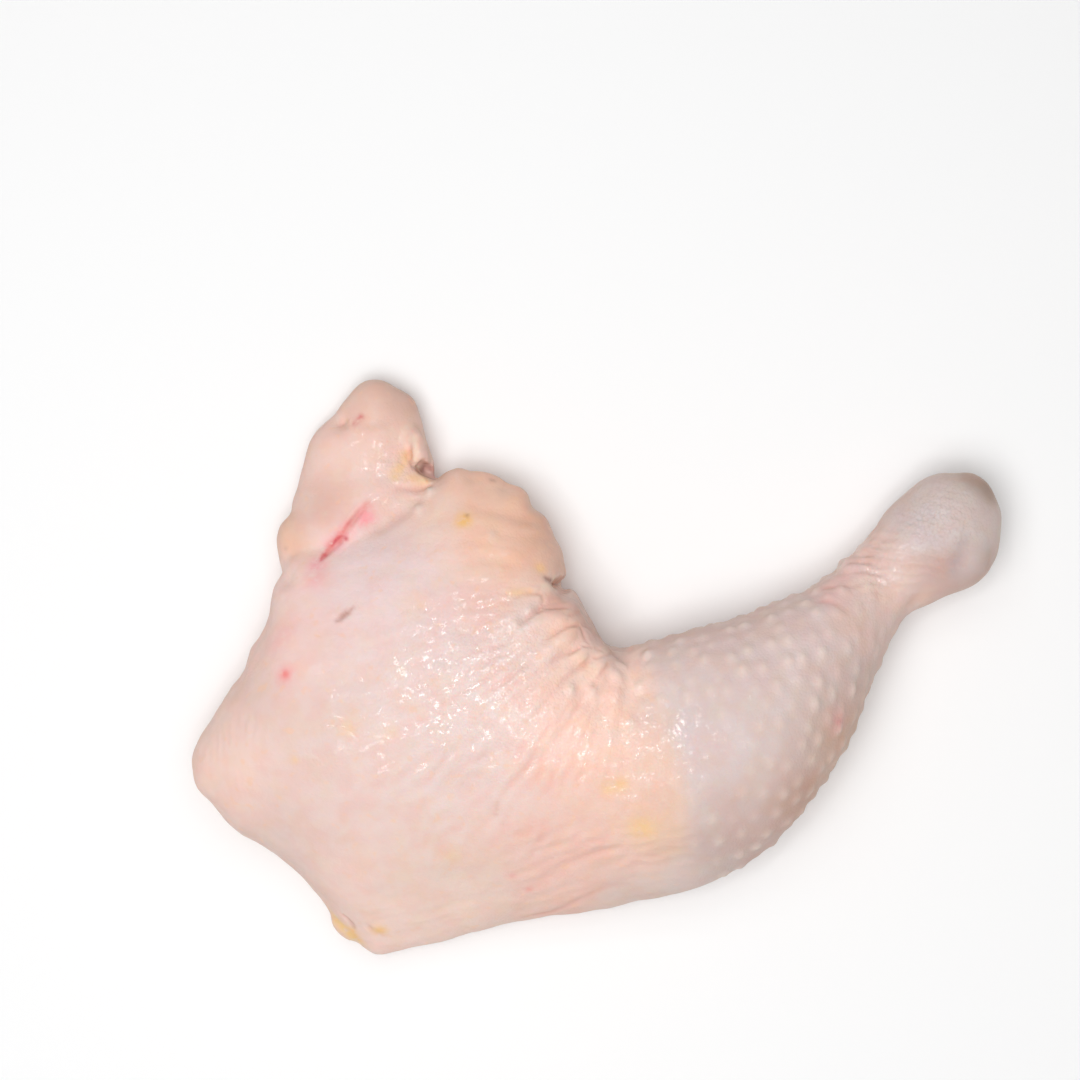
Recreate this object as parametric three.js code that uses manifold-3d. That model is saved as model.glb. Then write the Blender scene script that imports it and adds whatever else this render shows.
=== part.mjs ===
// A raw chicken leg with its skin on: thigh and drumstick in one piece, lying on its inner side.
// Millimetres, +Z up. The cut end of the thigh lies towards -X, the knuckle towards +X and +Y.
import * as THREE from 'three';
import { LoftGeometry } from 'three/addons/geometries/LoftGeometry.js';
import { mergeVertices } from 'three/addons/utils/BufferGeometryUtils.js';
import Module from 'manifold-3d';

const wasm = await Module();
wasm.setup();

// Driving dimensions: heights above the table of the parts of the leg as it lies.
const THIGH_HEIGHT = 41;
const KNEE_HEIGHT = 39;
const CALF_HEIGHT = 42.5;
const ANKLE_HEIGHT = 26;
const KNUCKLE_HEIGHT = 29.5;
const FLAP_HEIGHT = 16;

// How far the flesh would sag below the table, which presses it flat.
const SAG = 3;

// The power that shapes a section: 1 is an ellipse, less is boxier, more is thinner towards its edges.
// Above its edges a section has ROUND_POWER, and SPREAD_POWER more for each time it is wider than high.
const ROUND_POWER = 0.82;
const SPREAD_POWER = 0.18;
const BASE_POWER = 0.85;

// Rounded ends: how far each reaches beyond its first or last station, and how much the form already closes
// in there, in degrees: 0 carries on straight at first, and more leans inwards at once.
const CORNER_END = { reach: 4.5, lean: 40 };
const KNUCKLE_END = { reach: 15, lean: 0 };
const FLAP_ROOT_END = { reach: 3, lean: 0 };
const FLAP_TIP_END = { reach: 2.5, lean: 45 };

// The folds of skin that fan out from the pit of the knee.
const FOLD_COUNT = 5;
const FOLD_LENGTH = 22;
const FOLD_WIDTH = 7;
const FOLD_DEPTH = 6;
const FOLD_RISE = 1.7;

// Facets.
const BODY_ROWS = 85;
const BODY_AROUND = 42;
const FLAP_ROWS = 14;
const FLAP_AROUND = 26;
const DOME_ROWS = 5;
const BLOB_AROUND = 14;
const BLOB_ROWS = 10;

// Stations along the leg, from the cut corner of the thigh to the knuckle. Each has a point of the right
// and of the left edge of the outline, looking along the form, and the heights of the crest and the keel.
const LEG = [
  { right: [-95.5, -33, 13], left: [-95, -14, 14], crest: 0.6 * THIGH_HEIGHT, keel: 1 }, // cut corner
  { right: [-88.5, -42, 11], left: [-88.5, -2, 13], crest: 0.76 * THIGH_HEIGHT, keel: -SAG },
  { right: [-79, -47.5, 8], left: [-82, 11, 12], crest: 0.86 * THIGH_HEIGHT, keel: -SAG },
  { right: [-69, -58, 7], left: [-77.5, 25, 11], crest: 0.94 * THIGH_HEIGHT, keel: -SAG },
  { right: [-55, -72, 6], left: [-62, 37, 9], crest: 0.98 * THIGH_HEIGHT, keel: -SAG }, // corner of the skin
  { right: [-43, -70.5, 7], left: [-43, 45, 12], crest: THIGH_HEIGHT, keel: -SAG },
  { right: [-31, -67.5, 8], left: [-32, 49, 14], crest: THIGH_HEIGHT, keel: -SAG }, // back lobe begins
  { right: [-17, -64.5, 9], left: [-19.5, 44.7, 15], crest: THIGH_HEIGHT, keel: -SAG },
  { right: [-4, -62, 10], left: [-11, 33, 15], crest: 0.98 * THIGH_HEIGHT, keel: -SAG },
  { right: [9, -59, 12], left: [-7.3, 23, 15], crest: KNEE_HEIGHT, keel: -SAG }, // back lobe ends
  { right: [20, -56.5, 14], left: [-2, 13.5, 16], crest: 0.98 * KNEE_HEIGHT, keel: -SAG },
  { right: [30, -53, 15.5], left: [4, 4.5, 18], crest: KNEE_HEIGHT, keel: -SAG }, // bend of the knee
  { right: [41, -46, 17], left: [11.5, 5.5, 20], crest: 1.03 * KNEE_HEIGHT, keel: -SAG },
  { right: [53, -33, 19], left: [24, 9.5, 21], crest: CALF_HEIGHT, keel: -SAG }, // calf
  { right: [62, -19, 19], left: [42, 14.5, 20], crest: 0.93 * CALF_HEIGHT, keel: -0.5 * SAG },
  { right: [69, -3, 17], left: [56, 22, 18], crest: 0.76 * CALF_HEIGHT, keel: 1 },
  { right: [75, 9, 15], left: [65, 30, 15.5], crest: ANKLE_HEIGHT, keel: 4 }, // ankle
  { right: [83, 15.5, 14.5], left: [71, 38, 15], crest: 0.93 * KNUCKLE_HEIGHT, keel: 1.5 },
  { right: [93.5, 20.5, 14.5], left: [80.5, 46, 15], crest: KNUCKLE_HEIGHT, keel: -0.3 * SAG }, // knuckle
];

// The flap of loose tail skin, from its root in the thigh to its tip.
const TAIL_FLAP = [
  { right: [-36, 32, 9], left: [-79, 20, 8], crest: 1.15 * FLAP_HEIGHT, keel: -SAG },
  { right: [-39, 44, 10], left: [-78.5, 31, 8], crest: 1.3 * FLAP_HEIGHT, keel: -SAG },
  { right: [-40, 52, 9], left: [-74.5, 43, 7], crest: 1.12 * FLAP_HEIGHT, keel: -SAG },
  { right: [-42, 59, 8], left: [-70.5, 55.5, 7], crest: FLAP_HEIGHT, keel: -SAG },
  { right: [-45, 66.5, 7.5], left: [-63.5, 65, 7], crest: 0.85 * FLAP_HEIGHT, keel: -0.5 * SAG },
  { right: [-49.5, 69.5, 7.5], left: [-60, 69, 7], crest: 0.75 * FLAP_HEIGHT, keel: 0 },
];

// Where the first and last knee folds lie, in plan, and which way they run, in degrees from +X.
const FIRST_FOLD = { at: [-11, 13], heading: 206 };
const LAST_FOLD = { at: [5, -4.5], heading: 258 };

// Small rounded forms: lumps that stand out of the skin, and hollows that run into it.
const LUMPS = [
  { at: [-61.5, -65, 6.5], radii: [5, 3, 3.5], heading: -45 }, // nib of fat at the cut edge
  { at: [-43.5, 54, 12.5], radii: [6, 2.6, 4.5], heading: 105 }, // curled edge of the flap
  { at: [-74, 31.5, 10], radii: [7, 4.2, 5], heading: 75 }, // bump at the root of the flap
];
const HOLLOWS = [
  { at: [-41.2, 48.3, 17], radii: [4.5, 1.8, 10], heading: -27 }, // pocket under the curled edge
  { at: [-8, 20.4, 20], radii: [5, 1.2, 18], heading: 5 }, // notch between the lobe and the knee
];

// The moist, pale pink skin.
const SKIN_PINK = 0xe8c8ba;
const SKIN_ROUGHNESS = 0.4;

// The block under the table, and how near two vertices are one.
const BLOCK_WIDTH = 400;
const BLOCK_DEPTH = 40;
const SAME_POINT = 1e-4;

// The four rails of a form: its two edges, and the crest and keel midway between them.
function railsOf(stations) {
  const rail = (pointAt) => {
    const points = stations.map((station) => new THREE.Vector3(...pointAt(station)));
    return new THREE.CatmullRomCurve3(points, false, 'centripetal');
  };
  const midway = ({ right, left }) => [(right[0] + left[0]) / 2, (right[1] + left[1]) / 2];
  return {
    right: rail((station) => station.right),
    left: rail((station) => station.left),
    crest: rail((station) => [...midway(station), station.crest]),
    keel: rail((station) => [...midway(station), station.keel]),
  };
}

// One section: four quarter arcs from the left edge over the crest to the right edge, and back by the keel.
function sectionAt(rails, t, around) {
  const right = rails.right.getPoint(t);
  const left = rails.left.getPoint(t);
  const crest = rails.crest.getPoint(t);
  const keel = rails.keel.getPoint(t);
  const topPower = ROUND_POWER + (SPREAD_POWER * right.distanceTo(left)) / crest.z;
  const section = [];
  for (let i = 0; i < around; i++) {
    const angle = (2 * Math.PI * i) / around;
    const edge = Math.cos(angle) > 0 ? left : right;
    const spine = Math.sin(angle) > 0 ? crest : keel;
    const power = Math.sin(angle) > 0 ? topPower : BASE_POWER;
    const outwards = Math.abs(Math.cos(angle)) ** power;
    const upwards = Math.abs(Math.sin(angle)) ** power;
    const point = new THREE.Vector3().lerpVectors(spine, edge, outwards);
    point.z = THREE.MathUtils.lerp(edge.z, spine.z, upwards);
    section.push(point);
  }
  return section;
}

function centreOf(section) {
  const centre = new THREE.Vector3();
  section.forEach((point) => centre.add(point));
  return centre.divideScalar(section.length);
}

// The sections of a rounded end: the last section shrinks to a point as it moves out by the given reach.
function domeSections(section, inner, { reach, lean }) {
  const first = THREE.MathUtils.degToRad(lean);
  const centre = centreOf(section);
  const out = centre.clone().sub(centreOf(inner)).setZ(0).normalize();
  const sections = [];
  for (let row = 1; row <= DOME_ROWS; row++) {
    const angle = THREE.MathUtils.lerp(first, Math.PI / 2, row / DOME_ROWS);
    const moved = (reach * (Math.sin(angle) - Math.sin(first))) / (1 - Math.sin(first));
    const size = Math.cos(angle) / Math.cos(first);
    const middle = centre.clone().addScaledVector(out, moved);
    const shrunk = (point) => middle.clone().addScaledVector(point.clone().sub(centre), size);
    sections.push(section.map(shrunk));
  }
  return sections;
}

// A closed form skinned over its rails, with a rounded end at each end.
function skinnedForm(stations, { rows, around, startEnd, farEnd }) {
  const rails = railsOf(stations);
  const body = [];
  for (let row = 0; row <= rows; row++) {
    body.push(sectionAt(rails, row / rows, around));
  }
  const start = domeSections(body[0], body[1], startEnd).reverse();
  const end = domeSections(body[rows], body[rows - 1], farEnd);
  return new LoftGeometry([...start, ...body, ...end]);
}

// A closed geometry as a solid that can be joined and cut. Triangles that shrink to nothing at a pole go.
function solidOf(geometry) {
  const bare = new THREE.BufferGeometry();
  bare.setAttribute('position', geometry.getAttribute('position'));
  bare.setIndex(geometry.getIndex());
  const merged = mergeVertices(bare, SAME_POINT);
  const corners = merged.index.array;
  const triVerts = [];
  for (let i = 0; i < corners.length; i += 3) {
    const [a, b, c] = corners.slice(i, i + 3);
    if (a !== b && b !== c && c !== a) triVerts.push(a, b, c);
  }
  return new wasm.Manifold(
    new wasm.Mesh({
      numProp: 3,
      vertProperties: merged.attributes.position.array,
      triVerts: new Uint32Array(triVerts),
    }),
  );
}

function geometryOf(solid) {
  const { vertProperties, triVerts } = solid.getMesh();
  const geometry = new THREE.BufferGeometry();
  geometry.setAttribute('position', new THREE.BufferAttribute(vertProperties, 3));
  geometry.setIndex(new THREE.BufferAttribute(triVerts, 1));
  geometry.computeVertexNormals();
  return geometry;
}

// An ellipsoid with its first axis turned to a heading in plan, then tipped so that its top faces a normal.
function blobSolid({ at, radii, heading, normal = new THREE.Vector3(0, 0, 1) }) {
  const up = new THREE.Vector3(0, 0, 1);
  const tip = new THREE.Quaternion().setFromUnitVectors(up, normal);
  const blob = new THREE.SphereGeometry(1, BLOB_AROUND, BLOB_ROWS);
  blob.scale(...radii);
  blob.rotateZ(THREE.MathUtils.degToRad(heading));
  blob.applyQuaternion(tip);
  blob.translate(...at);
  return solidOf(blob);
}

const body = solidOf(
  skinnedForm(LEG, {
    rows: BODY_ROWS,
    around: BODY_AROUND,
    startEnd: CORNER_END,
    farEnd: KNUCKLE_END,
  }),
);
const tailFlap = solidOf(
  skinnedForm(TAIL_FLAP, {
    rows: FLAP_ROWS,
    around: FLAP_AROUND,
    startEnd: FLAP_ROOT_END,
    farEnd: FLAP_TIP_END,
  }),
);

// Each knee fold is a blob laid on the skin, standing a little proud of it.
const skinSurface = new THREE.Mesh(geometryOf(body));
const kneeFolds = [];
for (let i = 0; i < FOLD_COUNT; i++) {
  const share = i / (FOLD_COUNT - 1);
  const x = THREE.MathUtils.lerp(FIRST_FOLD.at[0], LAST_FOLD.at[0], share);
  const y = THREE.MathUtils.lerp(FIRST_FOLD.at[1], LAST_FOLD.at[1], share);
  const above = new THREE.Vector3(x, y, 2 * THIGH_HEIGHT);
  const drop = new THREE.Raycaster(above, new THREE.Vector3(0, 0, -1));
  const { point, face } = drop.intersectObject(skinSurface)[0];
  const centre = point.clone().addScaledVector(face.normal, FOLD_RISE - FOLD_DEPTH);
  kneeFolds.push(
    blobSolid({
      at: centre.toArray(),
      radii: [FOLD_LENGTH / 2, FOLD_WIDTH / 2, FOLD_DEPTH],
      heading: THREE.MathUtils.lerp(FIRST_FOLD.heading, LAST_FOLD.heading, share),
      normal: face.normal,
    }),
  );
}

// Everything joined into one piece of flesh and skin, with the hollows taken out, pressed flat by the table.
const block = new THREE.BoxGeometry(BLOCK_WIDTH, BLOCK_WIDTH, BLOCK_DEPTH);
block.translate(0, 0, -BLOCK_DEPTH / 2);
let leg = body.add(tailFlap);
[...kneeFolds, ...LUMPS.map(blobSolid)].forEach((lump) => {
  leg = leg.add(lump);
});
[...HOLLOWS.map(blobSolid), solidOf(block)].forEach((hollow) => {
  leg = leg.subtract(hollow);
});

const skin = new THREE.MeshStandardMaterial({ color: SKIN_PINK, roughness: SKIN_ROUGHNESS, metalness: 0 });
const chickenLeg = new THREE.Mesh(geometryOf(leg), skin);
chickenLeg.name = 'chicken_leg';

// The origin is on the table, under the middle of the leg.
const extent = new THREE.Box3().setFromObject(chickenLeg);
const middle = extent.getCenter(new THREE.Vector3());
chickenLeg.position.set(-middle.x, -middle.y, -extent.min.z);

const part = new THREE.Group();
part.add(chickenLeg);

export default part;
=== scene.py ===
import math
import random

import bmesh
import bpy
import numpy as np
from mathutils import Color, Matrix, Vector
from mathutils.bvhtree import BVHTree


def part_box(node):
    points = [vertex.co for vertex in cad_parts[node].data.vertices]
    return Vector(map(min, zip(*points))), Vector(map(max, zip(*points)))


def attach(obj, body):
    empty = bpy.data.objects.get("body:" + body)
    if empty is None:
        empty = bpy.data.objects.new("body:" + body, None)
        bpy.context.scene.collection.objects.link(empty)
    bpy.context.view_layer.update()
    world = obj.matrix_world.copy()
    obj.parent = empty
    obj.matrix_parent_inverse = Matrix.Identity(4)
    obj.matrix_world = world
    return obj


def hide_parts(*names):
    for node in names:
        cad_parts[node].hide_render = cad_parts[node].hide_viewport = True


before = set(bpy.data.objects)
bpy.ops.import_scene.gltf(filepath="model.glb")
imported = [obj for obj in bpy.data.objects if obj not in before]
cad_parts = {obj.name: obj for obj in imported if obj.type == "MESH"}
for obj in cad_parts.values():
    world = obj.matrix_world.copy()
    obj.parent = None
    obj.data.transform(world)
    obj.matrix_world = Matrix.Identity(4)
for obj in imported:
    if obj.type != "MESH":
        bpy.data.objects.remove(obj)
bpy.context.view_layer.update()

# Camera
# It looks straight down on the leg as it lies, from far enough away that the leg fills the square picture
# as it does in the photograph. What is placed on the skin below is placed where this camera sees it.

MM = 0.001
# The side of the picture and the edges of the leg in it, in pixels.
PICTURE_SIDE = 1080
LEG_LEFT, LEG_RIGHT = 192, 1002
LEG_TOP, LEG_BOTTOM = 377, 957
# The height at which the leg is widest.
OUTLINE_HEIGHT = 14 * MM
LENS = 100
SENSOR = 36

leg_low, leg_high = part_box("chicken_leg")
leg_middle = (leg_low + leg_high) / 2
pixel = (leg_high.x - leg_low.x) / (LEG_RIGHT - LEG_LEFT)
camera = bpy.data.cameras.new("camera")
camera.lens = LENS
camera.sensor_width = SENSOR
viewer = bpy.data.objects.new("camera", camera)
bpy.context.scene.collection.objects.link(viewer)
viewer.location = (
    leg_middle.x + (PICTURE_SIDE / 2 - (LEG_LEFT + LEG_RIGHT) / 2) * pixel,
    leg_middle.y - (PICTURE_SIDE / 2 - (LEG_TOP + LEG_BOTTOM) / 2) * pixel,
    OUTLINE_HEIGHT + PICTURE_SIDE * pixel * LENS / SENSOR,
)
bpy.context.scene.camera = viewer

# Flesh
# Meat and bone in one piece, cut from the bird through the hip and lying pressed flat on the table. It has
# the form of the solid, drawn smooth as soft flesh is, with the small swellings and dents of its edges.

MERGE_DISTANCE = 0.001 * MM
SKIN_FACE = 0.83 * MM
SMOOTHING_SHARE = 0.5
CRISP_SMOOTHING = 5
FLESH_SMOOTHING = 17
LAST_SMOOTHING = 2
# Places that stay crisp: plan position, reach and strength. Lengths are in millimetres.
CRISP_PLACES = [
    ((-42, 49), 8, 1.0),  # curled edge of the flap and its pocket
    ((-61, -65), 7, 1.0),  # nib of fat
    ((-75, 31), 7, 1.0),  # bump at the root of the flap
]
# Places with fine folds and marks, where the faces of the upper side are half as large.
FINE_PLACES = [
    ((-8, 3), 22, 1.0),  # bend of the knee
    ((84, 34), 14, 1.0),  # knuckle
    ((69, 24), 11, 1.0),  # ankle
    ((-46, 49), 10, 1.0),  # curled edge of the flap and its pocket
    ((-63, 32), 10, 1.0),  # bruise
    ((-59, 62), 6, 1.0),  # red mark on the flap
    ((-62.6, 13), 4, 1.0),  # slit in the thigh
    ((-60, -65), 8, 1.0),  # nib of fat
    ((-77, -2), 4, 1.0),  # red spot
]
FINE_NEARNESS = 0.4
FINE_SLOPE = 0.1
# Swellings and dents: plan position, reach and rise, in millimetres.
SWELLINGS = [
    # Flap
    ((-63.7, 61), 2.4, -1.7), ((-67.5, 55), 5, 0.8), ((-43, 56), 4, -0.6), ((-56, 67), 4, 0.6),
    # Root of the flap
    ((-76, 31), 4.5, 0.5), ((-77.8, 39), 2.4, -1.1), ((-77.3, 22.5), 2.6, -1.6),
    # Rim of the lobe
    ((-35.5, 47.5), 3.5, 0.8), ((-19, 42), 3, 0.8), ((-13, 36), 3.2, 0.8), ((-10, 28.5), 3.2, 0.9),
    ((-31, 47.5), 2, -0.7), ((-22.5, 45), 2, -0.7), ((-16, 39.8), 2, -0.7),
    # Notch above the knee
    ((-11, 20.6), 2.0, 0.5), ((-7.8, 19.9), 1.9, -1.1),
    # Left edge
    ((-87, 5.5), 1.8, 0.5), ((-89.5, 1), 1.6, -0.5), ((-92.3, -4), 1.8, 0.5), ((-94.5, -8), 1.6, -0.4),
    # Pocket of the flap
    ((-44.4, 49), 1.4, 0.2),
    # Thigh
    ((-80, 10), 6, -0.6), ((-89, -2), 5, -1.0), ((-36, -51), 9, -0.7), ((-41, -61), 8, 0.7),
    ((-79, -46), 5, 0.8), ((-55, -71), 3, 0.8),
    # Calf
    ((44, -50), 6, 0.6), ((45, -30), 10, 0.6),
    # Ankle
    ((52, 19), 4, -1.0), ((58, 24), 4, -1.0), ((64, 30), 4, -1.0), ((68, 35), 4, -0.8),
    ((68, 33.1), 1.6, 0.5), ((64.6, 30.1), 1.6, 0.5), ((61.5, 25.8), 1.6, 0.4), ((58.8, 23), 1.6, 0.4),
    # Knuckle
    ((88.4, 48), 2.6, -0.6), ((93, 25), 6, 1.3), ((84, 43), 5, 0.6), ((78, 12.5), 4.5, -0.9),
    ((95, 47), 4, 0.7),
    # Folds of the knee
    ((-9.3, 12.1), 2.4, 0.4), ((-6.2, 7.4), 2.2, 0.4), ((-3.4, 3), 2.0, 0.4), ((0.7, 0.4), 2.2, 0.4),
]
# The notch above the knee is a fold of skin, whose sides come close under its mouth: plan position, reach,
# height of the mouth, height of the lip below it and how far the sides come in, in millimetres.
NOTCH_PLACE = (-11.5, 21.2)
NOTCH_REACH = 2.4
NOTCH_MOUTH = 23
NOTCH_LIP = 9
NOTCH_CLOSING = 1.1


def bare_object(name, mesh):
    made = bpy.data.objects.new(name, mesh)
    bpy.context.scene.collection.objects.link(made)
    return made


def baked(piece):
    """The piece with its modifiers turned into plain mesh."""
    graph = bpy.context.evaluated_depsgraph_get()
    mesh = bpy.data.meshes.new_from_object(piece.evaluated_get(graph), depsgraph=graph)
    mesh.name = piece.name
    piece.modifiers.clear()
    piece.data = mesh
    return piece


def points_of(mesh):
    flat = np.empty(3 * len(mesh.vertices), np.float32)
    mesh.vertices.foreach_get("co", flat)
    return flat.reshape(-1, 3)


def normals_of(mesh):
    flat = np.empty(3 * len(mesh.vertices), np.float32)
    mesh.vertices.foreach_get("normal", flat)
    return flat.reshape(-1, 3)


def in_plan(points, place, reach):
    """1 at a plan position in millimetres, falling to nothing a little beyond its reach."""
    away = points[:, :2] / MM - np.array(place)
    return np.exp(-(away ** 2).sum(axis=1) / reach ** 2)


def keep_layer(mesh, name, values):
    mesh.attributes.new(name, "FLOAT", "POINT").data.foreach_set("value", np.asarray(values, np.float32))


def spread_over(points, places, least=0.0):
    """The strongest of some places at each point, and never under the least."""
    strongest = np.full(len(points), least)
    for place, reach, strength in places:
        strongest = np.maximum(strongest, strength * in_plan(points, place, reach))
    return strongest


def drawn_smooth(piece, times, where=""):
    """The piece drawn smooth, all over or by a vertex group."""
    smoothing = piece.modifiers.new("drawn_smooth", "SMOOTH")
    smoothing.factor = SMOOTHING_SHARE
    smoothing.iterations = times
    smoothing.vertex_group = where
    return baked(piece)


flesh = bmesh.new()
flesh.from_mesh(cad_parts["chicken_leg"].data)
bmesh.ops.remove_doubles(flesh, verts=flesh.verts, dist=MERGE_DISTANCE)
leg = bare_object("chicken_leg_skin", bpy.data.meshes.new("chicken_leg_skin"))
flesh.to_mesh(leg.data)
flesh.free()
even_faces = leg.modifiers.new("even_faces", "REMESH")
even_faces.mode = "VOXEL"
even_faces.voxel_size = SKIN_FACE
drawn_smooth(leg, CRISP_SMOOTHING)
soft_flesh = leg.vertex_groups.new(name="soft_flesh")
for index, kept in enumerate(spread_over(points_of(leg.data), CRISP_PLACES)):
    soft_flesh.add([index], 1 - kept, "REPLACE")
drawn_smooth(leg, FLESH_SMOOTHING, "soft_flesh")
leg.vertex_groups.clear()

near_folds = spread_over(points_of(leg.data), FINE_PLACES) > FINE_NEARNESS
fine = near_folds & (normals_of(leg.data)[:, 2] > FINE_SLOPE)
flesh = bmesh.new()
flesh.from_mesh(leg.data)
fine_edges = [edge for edge in flesh.edges if all(fine[end.index] for end in edge.verts)]
bmesh.ops.subdivide_edges(flesh, edges=fine_edges, cuts=1, use_grid_fill=True)
flesh.to_mesh(leg.data)
flesh.free()
drawn_smooth(leg, LAST_SMOOTHING)
flesh_points = points_of(leg.data)
swell = sum(rise * in_plan(flesh_points, place, reach) for place, reach, rise in SWELLINGS)
under_mouth = np.clip((NOTCH_MOUTH - flesh_points[:, 2] / MM) / NOTCH_LIP, 0, 1)
swell = swell + NOTCH_CLOSING * under_mouth * in_plan(flesh_points, NOTCH_PLACE, NOTCH_REACH)
keep_layer(leg.data, "swell", swell)
flesh_surface = BVHTree.FromPolygons(
    [vertex.co for vertex in leg.data.vertices],
    [face.vertices[:] for face in leg.data.polygons],
)

# Feather follicles
# The plucked skin of the drumstick has a low bump where each feather stood. They sit in rings round the
# shank, each ring half a step round from the last, and are unequal, lowest towards the knee and the ankle.

SHANK_START = Vector((12, -28, 19)) * MM
SHANK_END = Vector((67, 18, 15)) * MM
RING_STEP = 4.7 * MM
FOLLICLE_STEP = 5.8 * MM
LEAST_AROUND = 6
FOLLICLE_SHIFT = 0.24
FOLLICLE_HEIGHT = 0.56 * MM
FOLLICLE_SPREAD = 0.5
FOLLICLE_SEED = 7
# The calf towards the knee and the ankle are almost smooth: plan position and reach.
SMOOTH_SHANK = [((26, -20), 16), ((70, 12), 9)]
SMOOTH_LOSS = 0.85

draw = random.Random(FOLLICLE_SEED)
shank = SHANK_END - SHANK_START
shank_way = shank.normalized()
shank_side = shank_way.cross(Vector((0, 0, 1))).normalized()
shank_up = shank_side.cross(shank_way)
follicle_points = []
follicle_heights = []
ring_count = int(shank.length / RING_STEP)
for ring in range(ring_count + 1):
    axis_point = SHANK_START + shank * (ring / ring_count)
    reach_up = flesh_surface.ray_cast(axis_point, shank_up)[3] or 0
    around_count = max(LEAST_AROUND, round(2 * math.pi * reach_up / FOLLICLE_STEP))
    for step in range(around_count):
        shift = draw.uniform(-FOLLICLE_SHIFT, FOLLICLE_SHIFT)
        turn = 2 * math.pi * (step + 0.5 * (ring % 2) + shift) / around_count
        start = axis_point + shank_way * RING_STEP * draw.uniform(-FOLLICLE_SHIFT, FOLLICLE_SHIFT)
        height = FOLLICLE_HEIGHT * draw.uniform(1 - FOLLICLE_SPREAD, 1 + FOLLICLE_SPREAD)
        hit = flesh_surface.ray_cast(start, shank_up * math.cos(turn) + shank_side * math.sin(turn))[0]
        if hit:
            calm = max(in_plan(np.array([hit]), *place)[0] for place in SMOOTH_SHANK)
            follicle_points.append(hit)
            follicle_heights.append(height * (1 - SMOOTH_LOSS * calm))
follicles = bare_object("follicles", bpy.data.meshes.new("follicles"))
follicles.data.from_pydata(follicle_points, [], [])
keep_layer(follicles.data, "height", follicle_heights)

# Valleys and creases
# Loose skin folds where the knee bends, where the flap and the lobe are cut, along the lower knee and round
# the ankle: wide valleys with puffed skin between them, and sharp creases. Each is laid along the skin,
# deepest near its start and running out at its end.

# Each line has a path in plan, a half width and a depth, in millimetres. A depth below 0 makes a ridge.
VALLEYS = [
    # Fan of the knee
    ([(-7.2, 15.1), (-12.8, 15.6), (-17.3, 12.6), (-24, 6), (-31, -3)], 1.3, 0.55),
    ([(-3.7, 10.6), (-7.4, 10.1), (-10.9, 8.4), (-18, 2), (-26, -7)], 1.3, 0.6),
    ([(-4, 6.7), (-5.2, 5.2), (-8.6, 3.2), (-15, -3), (-22, -12)], 1.2, 0.55),
    ([(-0.7, 2.5), (-3.7, 1), (-7.4, -2.5), (-13, -9), (-19, -18)], 1.3, 0.6),
    ([(1.2, -1.5), (-3, -7.4), (-7, -14), (-11, -22)], 1.3, 0.35),
    ([(3.7, 0.5), (3.2, -5.7), (1, -13), (-2, -20)], 1.3, 0.2),
    # Lower knee
    (
        [(5.4, -44.5), (1, -45.7), (-4.4, -47.4), (-8, -49), (-12.4, -52.4), (-18.5, -56), (-25, -58)],
        1.3,
        0.35,
    ),
    # Thigh
    ([(-14, -21.5), (-19.8, -27.7), (-25.4, -33.3)], 1.2, 0.45),
    ([(-24, -19), (-31, -27), (-37, -34)], 1.2, 0.35),
    # Flap
    ([(-55.5, 34), (-50, 37), (-44.5, 39.7)], 1.6, 0.5),
    ([(-50, 61.5), (-56, 60), (-62, 63)], 1.4, 0.45),
    ([(-42, 46.2), (-46, 46.8), (-51, 46.6)], 1.6, -0.5),
    ([(-44.9, 50.2), (-45, 53), (-45.7, 57)], 1.3, -1.0),
    # Lobe
    ([(-14.6, 35.6), (-20, 37), (-26.4, 38.4), (-33.6, 40.8), (-39.3, 40.8)], 1.8, 0.6),
    ([(-13, 31.5), (-20, 32.5), (-27, 33)], 1.4, 0.35),
    ([(-19, 25.7), (-29, 26.2), (-37, 25.2)], 1.6, 0.35),
    # Knuckle
    ([(78, 14.3), (79.5, 18), (81.5, 22)], 2.0, 0.9),
    ([(88.4, 25), (90.2, 28), (91, 32)], 1.8, 0.9),
    ([(93, 24), (95, 29), (95.5, 35)], 2.4, -0.6),
]
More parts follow.
